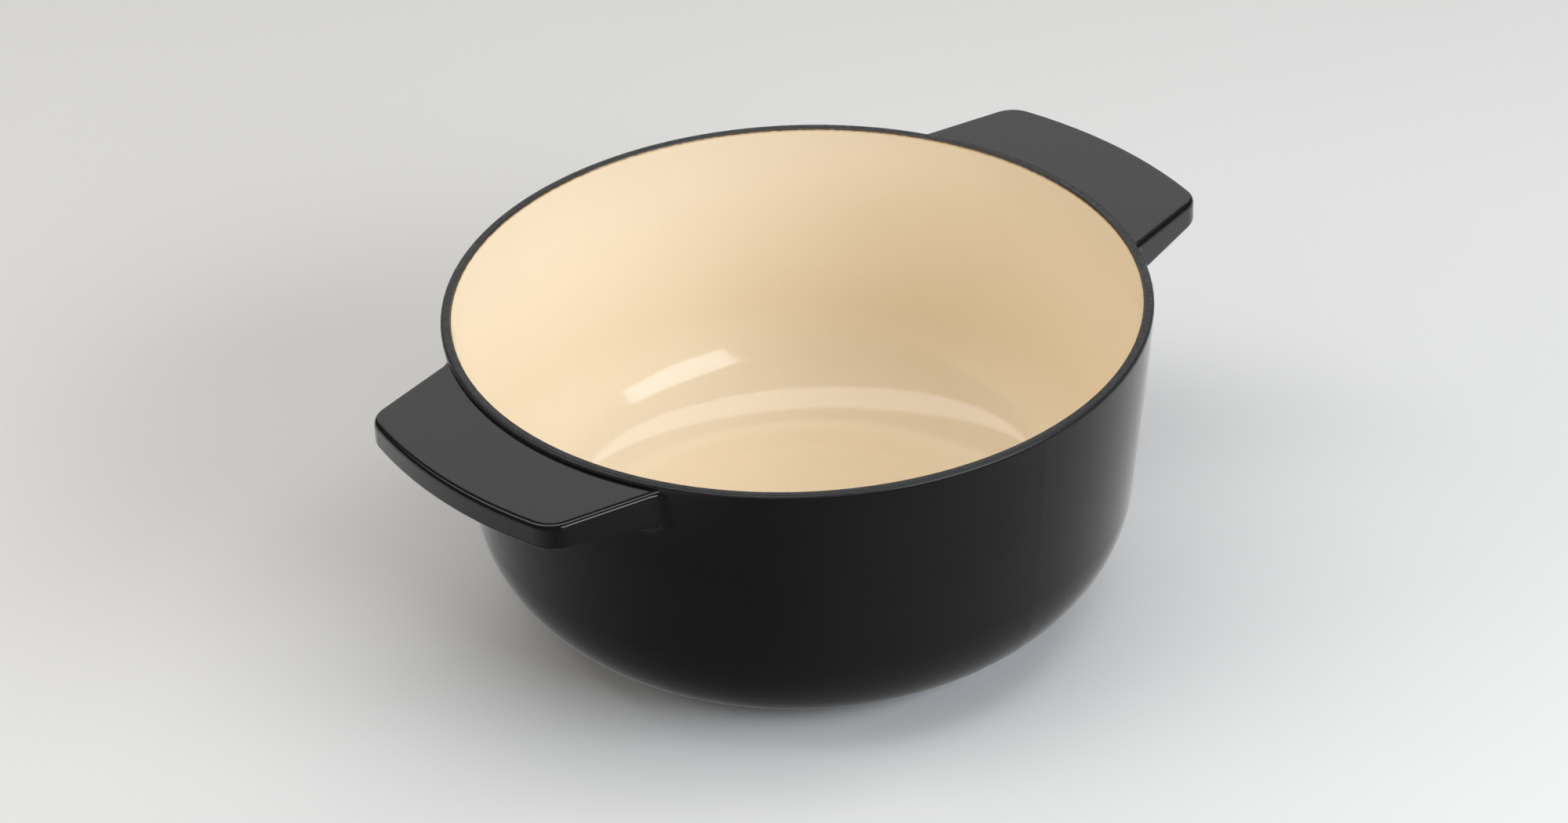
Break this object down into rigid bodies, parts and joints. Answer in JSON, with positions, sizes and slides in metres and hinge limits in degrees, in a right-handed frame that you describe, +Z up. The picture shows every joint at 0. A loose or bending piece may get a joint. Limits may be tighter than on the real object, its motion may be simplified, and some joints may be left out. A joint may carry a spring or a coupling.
{
  "type": "dutch oven",
  "caption": "Round enamelled cast iron dutch oven without a lid: cream inside, glossy black outside, with two broad tab handles cast on just under the rim.",
  "frame": {"origin": "on the resting plane, under the middle of the base", "axes": "+X towards the right handle and -X towards the left one, +Z up through the mouth"},
  "size_m": [0.315, 0.2478, 0.113],
  "materials": {
    "cast_iron": "as cast, under the enamel and never seen",
    "black_enamel": "glossy black glass enamel",
    "cream_enamel": "glossy cream glass enamel",
    "rim_ground_coat": "matt dark grey ground coat, left bare on the rim",
    "base_ground_coat": "satin black ground coat, left bare under the base"
  },
  "bodies": {
    "root": {"bowl_casting": "cast_iron", "left_handle": "cast_iron", "right_handle": "cast_iron", "outside_enamel": "black_enamel", "inside_enamel": "cream_enamel", "rim_enamel": "rim_ground_coat", "base_enamel": "base_ground_coat"}
  },
  "joints": []
}
